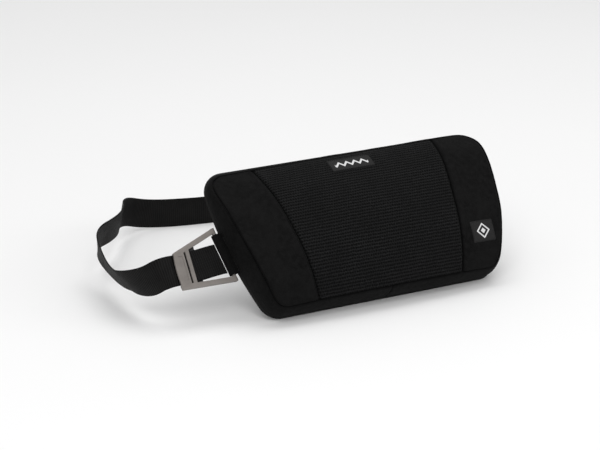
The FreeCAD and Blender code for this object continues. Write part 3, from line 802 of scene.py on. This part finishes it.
def make_cover():
    points, faces, panels, seams, cloth = cushion_grid()
    cover = mapped_mesh("whole_cover", points, faces, cloth, panels, seams)
    rests = points[:, 2] < 0.5
    pins = np.where(seams > 0.9, 1.0, np.where(rests, 0.93, 0.0))
    swell(cover, pins)
    subdivided(cover, 2)
    sew(cover)
    parts = [("left_side_cover", LEFT_PANEL, "suede", "left_side_panel"),
             ("right_side_cover", RIGHT_PANEL, "suede", "right_side_panel"),
             ("centre_mesh_cover", MIDDLE_PANEL, "mesh", "centre_mesh_panel"),
             ("left_wall_cover", LEFT_WALL, "boxing", "left_boxing_strip"),
             ("right_wall_cover", RIGHT_WALL, "boxing", "right_boxing_strip"),
             ("upper_back_cover", UPPER_BACK, "back", "upper_back_panel"),
             ("lower_back_cover", LOWER_BACK, "back", "lower_back_panel")]
    for name, panel, slot, node in parts:
        piece = panel_piece(cover, panel, name)
        finish_piece(piece, "root", slot, node)
    mesh = cover.data
    surface = BVHTree.FromPolygons([v.co.copy() for v in mesh.vertices],
                                   [tuple(p.vertices) for p in mesh.polygons])
    bpy.data.objects.remove(cover)
    return surface


def make_foam():
    points, faces, panels, seams, cloth = cushion_grid(shrink=FOAM_SHRINK)
    points[:, 2] = np.maximum(points[:, 2], FOAM_LIFT)
    foam = mapped_mesh("foam_block", points, faces, cloth, panels, seams)
    subdivided(foam, 1)
    finish_piece(foam, "root", "foam", "foam_core")


# ---------------------------------------------------------------- small sewn pieces

def swept(name, path, section, closed, across_hint):
    """A closed section carried along a path; section points are (out, across) in mm."""
    path = [Vector(p) for p in path]
    count = len(path)
    points, faces, runs = [], [], []
    run = 0.0
    for i, place in enumerate(path):
        after = path[(i + 1) % count] if closed or i < count - 1 else place
        before = path[i - 1] if closed or i else place
        forward = (after - before).normalized()
        across = across_hint(i) if callable(across_hint) else across_hint
        across = (across - forward * across.dot(forward)).normalized()
        out = across.cross(forward)
        if i:
            run += (place - path[i - 1]).length
        runs.append(run)
        for rise, wide in section:
            points.append(place + out * (rise * MM) + across * (wide * MM))
    size = len(section)
    span = count if closed else count - 1
    cloth = []
    for i in range(span):
        nxt = (i + 1) % count
        far = runs[nxt] if nxt else runs[-1] + (path[0] - path[-1]).length
        faces += ring_faces(i * size, nxt * size, size)
        for k in range(size):
            m = (k + 1) % size
            cloth.append([(section[k][1], runs[i] / MM), (section[m][1], runs[i] / MM),
                          (section[m][1], far / MM), (section[k][1], far / MM)])
    if not closed:
        faces.append(tuple(reversed(range(size))))
        cloth.append([(section[k][1], 0.0) for k in reversed(range(size))])
        start = (count - 1) * size
        faces.append(tuple(start + k for k in range(size)))
        cloth.append([(section[k][1], runs[-1] / MM) for k in range(size)])
    piece = mesh_object(name, points, faces)
    lay_cloth(piece, [spot for spots in cloth for spot in spots])
    return piece


def run_along(points):
    """The distance along a line of points, at each of them."""
    return np.concatenate([[0], np.cumsum(np.linalg.norm(np.diff(points, axis=0), axis=1))])


def rounded_section(low, high, left, right, radius, steps=3):
    """A rounded rectangle as (out, across) points."""
    points = []
    corners = ((high - radius, right - radius, 0), (high - radius, left + radius, 90),
               (low + radius, left + radius, 180), (low + radius, right - radius, 270))
    for out, across, start in corners:
        for k in range(steps + 1):
            angle = math.radians(start + 90 * k / steps)
            points.append((out + radius * math.cos(angle), across + radius * math.sin(angle)))
    return points


def outline_path(inset, depth, steps=220):
    """The rounded outline, evenly spaced, in the row frame."""
    shares = np.sin(np.linspace(-math.pi / 2, math.pi / 2, 120))
    right = [outline_limit(s, inset) for s in shares]
    ring = [(limit, up) for up, limit in right] + [(-limit, up) for up, limit in right[::-1]]
    ring = np.array(ring + ring[:1])
    run = run_along(ring)
    at = np.linspace(0, run[-1], steps, endpoint=False)
    flat = np.stack([np.interp(at, run, ring[:, 0]), np.interp(at, run, ring[:, 1]),
                     np.full(steps, depth)], 1)
    return to_row(flat)


def make_binding():
    """Tape folded over the back seam."""
    path = outline_path(BACK_INSET, 1.8)
    section = rounded_section(-1.4, 1.5, -1.75, 1.75, 0.7)
    piece = swept("back_binding", path, section, True, OUT)
    finish_piece(piece, "root", "binding", "back_edge_binding")


def stitch_run(spots, out, size=2.6, gap=1.3, radius=0.26):
    """Short threads laid end to end along a line; spots are in the row frame."""
    spots = np.asarray(spots, float)
    run = run_along(spots) / MM
    pieces = []
    count = int(run[-1] // (size + gap))
    for k in range(count):
        ends = [k * (size + gap), k * (size + gap) + size]
        start, end = [Vector([np.interp(e, run, spots[:, c]) for c in range(3)]) for e in ends]
        pieces.append((start, end, Vector(out), radius))
    return pieces


def make_stitches(runs):
    """All the threads, each a capsule pressed into the cloth."""
    sides, rings = 6, ((0.0, 0.25), (0.12, 0.85), (0.5, 1.0), (0.88, 0.85), (1.0, 0.25))
    points, faces, spots = [], [], []
    for start, end, out, radius in runs:
        along = end - start
        forward = along.normalized()
        side = forward.cross(out).normalized()
        rise = side.cross(forward)
        first = len(points)
        for t, wide in rings:
            middle = start + along * t + rise * (0.3 * radius * MM)
            for k in range(sides):
                angle = 2 * math.pi * k / sides
                points.append(middle + (side * math.cos(angle) + rise * math.sin(angle))
                              * (radius * wide * MM))
                spots.append((k * 0.3, t * 2.6))
        for r in range(len(rings) - 1):
            faces += ring_faces(first + r * sides, first + (r + 1) * sides, sides)
        faces.append(tuple(first + k for k in reversed(range(sides))))
        last = first + (len(rings) - 1) * sides
        faces.append(tuple(last + k for k in range(sides)))
    piece = mesh_object("sewing_threads", points, faces)
    lay_cloth(piece, [spots[loop.vertex_index] for loop in piece.data.loops])
    finish_piece(piece, "root", "binding", look="thread")


def on_front(surface, across, up, lift=0.0):
    """A place on the finished front, lifted off it."""
    start = Vector(to_row([[across, up, 90.0]])[0])
    hit = surface.ray_cast(start, -OUT)[0]
    return hit + OUT * (lift * MM)


def make_label(surface, name, node, centre, half_wide, half_high):
    """A woven label that follows the front, with turned edges and a stitched border."""
    wide, high = 24, 12
    points, faces, cloth, spots = [], [], [], []
    for i in range(high + 1):
        for j in range(wide + 1):
            s, t = 2 * j / wide - 1, 2 * i / high - 1
            rounding = 1 - 0.02 * (s * t) ** 6
            across, up = half_wide * s * rounding, half_high * t * rounding
            edge = max(abs(s), abs(t))
            lift = 0.75 - 0.45 * ease(np.array([(edge - 0.86) / 0.14]))[0]
            points.append(on_front(surface, centre[0] + across, centre[1] + up, lift))
            spots.append((across, up))
    for i in range(high):
        for j in range(wide):
            a, b = i * (wide + 1) + j, (i + 1) * (wide + 1) + j
            faces.append((a, a + 1, b + 1, b))
            cloth.append([spots[k] for k in (a, a + 1, b + 1, b)])
    # a light smoothing keeps the label from copying every pucker under it
    grid = np.array([tuple(p) for p in points]).reshape(high + 1, wide + 1, 3)
    for _ in range(2):
        inner = (grid[:-2, 1:-1] + grid[2:, 1:-1] + grid[1:-1, :-2] + grid[1:-1, 2:]) / 4
        grid[1:-1, 1:-1] = 0.5 * grid[1:-1, 1:-1] + 0.5 * inner
    piece = mesh_object(name, grid.reshape(-1, 3), faces)
    lay_cloth(piece, [spot for spots in cloth for spot in spots])
    thickened(piece, 0.9)
    subdivided(piece, 1)
    finish_piece(piece, "root", "label", node, look=node)
    border = []
    inset = 1.0
    corners = [(-1, -1), (1, -1), (1, 1), (-1, 1), (-1, -1)]
    for (x0, y0), (x1, y1) in zip(corners, corners[1:]):
        for t in np.linspace(0, 1, 12, endpoint=False):
            across = (x0 + (x1 - x0) * t) * (half_wide - inset)
            up = (y0 + (y1 - y0) * t) * (half_high - inset)
            border.append(on_front(surface, centre[0] + across, centre[1] + up, 0.8))
    return stitch_run(border + border[:1], OUT, 1.6, 0.9, 0.2)


# ---------------------------------------------------------------- zip

def zip_row(up, depth, half, steps):
    return [Vector(p) for p in to_row([[x, ZIP_UP + up, depth]
                                       for x in np.linspace(-half, half, steps)])]


def make_zip():
    """Woven tapes and two rows of interlocking coil."""
    for side, node in ((1, "upper_zip_tape"), (-1, "lower_zip_tape")):
        middle = side * (0.2 + ZIP_HALF_HIGH + 1.5) / 2
        half = (ZIP_HALF_HIGH + 1.3) / 2
        section = rounded_section(-0.3, 0.3, -half, half, 0.25)
        path = zip_row(middle, 1.25, ZIP_HALF_LONG + 1.5, 60)
        piece = swept(node.replace("zip_tape", "tape_cloth"), path, section, False, UP)
        finish_piece(piece, "root", "tape", node)
    pitch, wire = 1.5, 0.36
    half = 108.0
    for side, node in ((1, "upper_zip_coil"), (-1, "lower_zip_coil")):
        count = int(2 * half / pitch * 8)
        turns = np.linspace(0, 2 * half / pitch, count + 1)
        shift = 0.25 if side > 0 else 0.75
        angle = 2 * math.pi * (turns + shift)
        line = np.stack([-half + turns * pitch, ZIP_UP + side * (0.75 - 0.72 * np.cos(angle)),
                         0.35 - 0.42 * np.sin(angle)], 1)
        section = [(wire * math.cos(a), wire * math.sin(a))
                   for a in np.linspace(0, 2 * math.pi, 5, endpoint=False)]
        piece = swept(node.replace("zip_coil", "coil_teeth"), to_row(line), section, False, OUT)
        finish_piece(piece, "root", "coil", node)


# ---------------------------------------------------------------- ring and webbing

WEBBING_WIDE, WEBBING_THICK = 32.0, 1.6
LEAD_LENGTH = 0.135             # from the ring to where the loop's own piece starts
RING_RUN, ANCHOR_RUN = 14.0, 40.0

# The strap's centre line in metres, as in the CAD: the two points at each end come from
# the ring and the sewn anchor.
STRAP_ROUTE = [
    (-0.214, 0.015, 0.044), (-0.224, 0.049, 0.034), (-0.222, 0.094, 0.033),
    (-0.215, 0.153, 0.044), (-0.164, 0.197, 0.039), (-0.143, 0.250, 0.035),
    (-0.102, 0.273, 0.0162), (-0.048, 0.257, 0.0162), (0.006, 0.250, 0.0162),
    (0.064, 0.234, 0.0162), (0.114, 0.198, 0.0165), (0.152, 0.148, 0.019),
    (0.173, 0.095, 0.024),
]
# Which way the webbing's width points along the strap, by distance from the ring: it
# leans out over the bend and comes upright where it turns behind the cushion.
LEANS = [
    (0.0, tuple(UP)), (0.040, (-0.35, 0.25, 0.9)), (0.075, (-0.6, 0.05, 0.8)),
    (0.120, (-0.37, -0.05, 0.93)), (0.160, (-0.1, -0.1, 0.99)), (0.200, (0.24, -0.18, 0.95)),
    (0.250, (0.24, -0.05, 0.97)), (0.320, (0.15, 0.15, 0.98)), (0.400, (0.0, 0.0, 1.0)),
]


def end_middle(node, direction):
    """The middle of a node's end face in a direction."""
    points = coordinates(frame["nodes"][node].data)
    reach = points @ np.array(direction)
    return Vector(points[reach > reach.max() - 2e-4].mean(0))


def strap_points():
    leaving = end_middle("left_strap_tail", -ACROSS)
    sewn = end_middle("strap_loop", OUT)
    return ([leaving, leaving - ACROSS * (RING_RUN * MM)]
            + [Vector(p) for p in STRAP_ROUTE]
            + [sewn - OUT * (ANCHOR_RUN * MM), sewn])


def smooth_line(points):
    """Points along the NURBS curve of a route."""
    data = bpy.data.curves.new("route", "CURVE")
    data.dimensions = "3D"
    data.resolution_u = 14
    spline = data.splines.new("NURBS")
    spline.points.add(len(points) - 1)
    for spot, place in zip(spline.points, points):
        spot.co = (*place, 1.0)
    spline.order_u = 3
    spline.use_endpoint_u = True
    holder = bpy.data.objects.new("route", data)
    bpy.context.scene.collection.objects.link(holder)
    graph = bpy.context.evaluated_depsgraph_get()
    mesh = bpy.data.meshes.new_from_object(holder.evaluated_get(graph), depsgraph=graph)
    line = [v.co.copy() for v in mesh.vertices]
    bpy.data.objects.remove(holder)
    bpy.data.meshes.remove(mesh)
    return line


def evenly(line, step):
    """The line again at an even spacing, ends kept."""
    line = np.array([tuple(p) for p in line])
    run = run_along(line)
    count = max(2, round(run[-1] / step) + 1)
    at = np.linspace(0, run[-1], count)
    return np.stack([np.interp(at, run, line[:, c]) for c in range(3)], 1), at


def webbing_section():
    """Flat webbing with full, slightly thicker edges."""
    half, thick = WEBBING_WIDE / 2, WEBBING_THICK / 2
    across = [half, half - 0.7, half - 2.2, half / 2, 0, -half / 2, -half + 2.2, -half + 0.7,
              -half]
    rise = [0.35, 0.95, 0.86, 0.9, 0.92, 0.9, 0.86, 0.95, 0.35]
    top = [(thick * r, a) for r, a in zip(rise, across)]
    return top + [(-out, wide) for out, wide in reversed(top)]


def make_strap():
    line, at = evenly(smooth_line(strap_points()), 0.0025)
    total = at[-1]
    side_up = Vector((-RING_AXIS.x, RING_AXIS.y, RING_AXIS.z))
    leans = LEANS + [(0.76 * total, (0, 0, 1)), (total - 0.03, tuple(side_up))]
    knots = [run for run, _ in leans]

    def across_at(run):
        return Vector([np.interp(run, knots, [lean[c] for _, lean in leans])
                       for c in range(3)]).normalized()

    split = int(np.argmin(np.abs(at - LEAD_LENGTH)))
    pieces = []
    for name, low, high, body, node in (
            ("strap_lead_webbing", 0, split, None, "left_strap_lead"),
            ("strap_webbing", split, len(at) - 1, "root", "strap_loop")):
        path, runs = line[low:high + 1], at[low:high + 1]
        piece = swept(name, path, webbing_section(), False, lambda i: across_at(runs[i]))
        for loop in piece.data.uv_layers["cloth"].uv:
            loop.vector.y += runs[0]
        finish_piece(piece, body, "webbing", node)
        pieces.append((piece, path))
    (lead, lead_path), (loop, loop_path) = pieces
    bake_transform(lead)
    tail = make_tail()


def make_tail():
    """The webbing's free end in the ring, cut square to the ring's wide bar."""
    low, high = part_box("left_strap_tail")
    start = end_middle("left_strap_tail", -ACROSS)
    end = start + ACROSS * (high.x - low.x)
    lift = (UP * 3.4 + OUT * 1.2) * MM
    line = [start.lerp(end, t) + lift * float(ease(np.array([t]))[0] ** 1.3)
            for t in np.linspace(0, 1, 44)]
    piece = swept("tail_webbing", line, webbing_section(), False, UP)
    work = bmesh.new()
    work.from_mesh(piece.data)
    corner = max((Vector(p) for p in coordinates(frame["nodes"]["left_strap_tail"].data)),
                 key=lambda p: (p - RING_CENTRE).dot(INWARD))
    cut = bmesh.ops.bisect_plane(work, geom=work.verts[:] + work.edges[:] + work.faces[:],
                                 plane_co=corner, plane_no=INWARD, clear_outer=True)
    edges = [e for e in cut["geom_cut"] if isinstance(e, bmesh.types.BMEdge)]
    bmesh.ops.contextual_create(work, geom=edges)
    work.to_mesh(piece.data)
    work.free()
    finish_piece(piece, "left_ring", "webbing", "left_strap_tail")
    return piece


def make_mouldings():
    """The zip's and the ring's hard pieces, with their edges rounded."""
    for node, name, slot, width, segments in (
            ("zip_end_stops", "zip_stops", "zip_metal", 0.3, 3),
            ("zip_slider", "slider_body", "zip_metal", 0.35, 3),
            ("zip_pull", "pull_tab", "zip_metal", 0.3, 3),
            ("left_ring", "ring_moulding", "ring", 1.15, 4),
            ("left_lock_bar", "lock_bar_moulding", "lock", 0.5, 3)):
        finish_piece(softened(node, name, width, segments), None, slot)


def make_sleeve():
    """Cover cloth folded round the ring's wide bar and sewn down near the cushion."""
    hole, wall = 2.5, 1.5
    outer = hole + wall - 0.1
    reach = coordinates(frame["nodes"]["left_ring_sleeve"].data) - np.array(RING_CENTRE)
    half = float(np.abs(reach @ np.array(RING_AXIS)).max())
    depth = 15.0
    # the section, in mm inwards and out of the front, around the bar and back along itself
    outside = [(depth, 1.55), (depth * 0.6, 1.5), (5.4, 1.7), (3.6, 2.6)]
    outside += [(outer * math.cos(a), outer * math.sin(a))
                for a in np.radians(np.linspace(50, 310, 18))]
    outside += [(3.6, -2.6), (5.4, -1.7), (depth * 0.6, -1.5), (depth, -1.55)]
    inside = [(hole * math.cos(a), hole * math.sin(a))
              for a in np.radians(np.linspace(-150, 150, 24) + 180)]
    steps = 26
    points, faces = [], []
    ring_size, hole_size = len(outside), len(inside)
    for i in range(steps + 1):
        along = -half + 2 * half * i / steps
        swell_out = 1 + 0.03 * math.sin(along * 420) + 0.05 * (abs(along) / half) ** 6
        base = RING_CENTRE + RING_AXIS * along
        for depth_in, rise in outside:
            points.append(base + INWARD * (depth_in * MM) + OUT * (rise * swell_out * MM))
        for depth_in, rise in inside:
            points.append(base + INWARD * (depth_in * MM) + OUT * (rise * MM))
    size = ring_size + hole_size
    for i in range(steps):
        a, b = i * size, (i + 1) * size
        for k in range(ring_size):
            m = (k + 1) % ring_size
            faces.append((a + k, b + k, b + m, a + m))
        faces += ring_faces(a + ring_size, b + ring_size, hole_size)
    piece = mesh_object("ring_sleeve", points, faces)
    work = bmesh.new()
    work.from_mesh(piece.data)
    work.edges.ensure_lookup_table()
    rims = [e for e in work.edges if e.is_boundary]
    bmesh.ops.triangle_fill(work, edges=rims, use_beauty=True)
    bmesh.ops.recalc_face_normals(work, faces=work.faces)
    work.to_mesh(piece.data)
    work.free()
    spots = []
    for loop in piece.data.loops:
        gap = (piece.data.vertices[loop.vertex_index].co - RING_CENTRE) / MM
        spots.append((gap.dot(RING_AXIS), gap.dot(INWARD) + gap.dot(OUT)))
    lay_cloth(piece, spots)
    finish_piece(piece, "root", "suede", "left_ring_sleeve", look="boxing")
    runs = []
    for depth_in in (6.6, 8.8):
        for side in (1, -1):
            line = [RING_CENTRE + RING_AXIS * a + INWARD * (depth_in * MM)
                    + OUT * (side * 1.62 * MM) for a in np.linspace(-half * 0.94, half * 0.94, 9)]
            runs += stitch_run(line, OUT * side, 2.2, 1.1, 0.24)
    return runs


def make_anchor():
    anchor = softened("strap_anchor", "anchor_patch", 0.6)
    local = to_cushion(coordinates(anchor.data))
    lay_cloth(anchor, [local[loop.vertex_index][1:] for loop in anchor.data.loops])
    finish_piece(anchor, None, "webbing")


# ---------------------------------------------------------------- everything

make_camera()
make_studio()
make_strap()
front = make_cover()
make_foam()
make_binding()
threads = make_label(front, "top_woven_label", "top_label", (0, 62.5), 25, 8)
threads += make_label(front, "side_woven_label", "side_label", (116, -39), 14, 11.5)
make_zip()
make_mouldings()
threads += make_sleeve()
make_anchor()
inner_line = outline_path(BACK_INSET + 3.0, -0.15, 260)
threads += stitch_run(np.vstack([inner_line, inner_line[:1]]), -OUT)
for edge in (ZIP_HALF_HIGH + 1.8, -ZIP_HALF_HIGH - 1.8):
    threads += stitch_run(zip_row(edge, -0.15, ZIP_HALF_LONG, 60), -OUT)
make_stitches(threads)
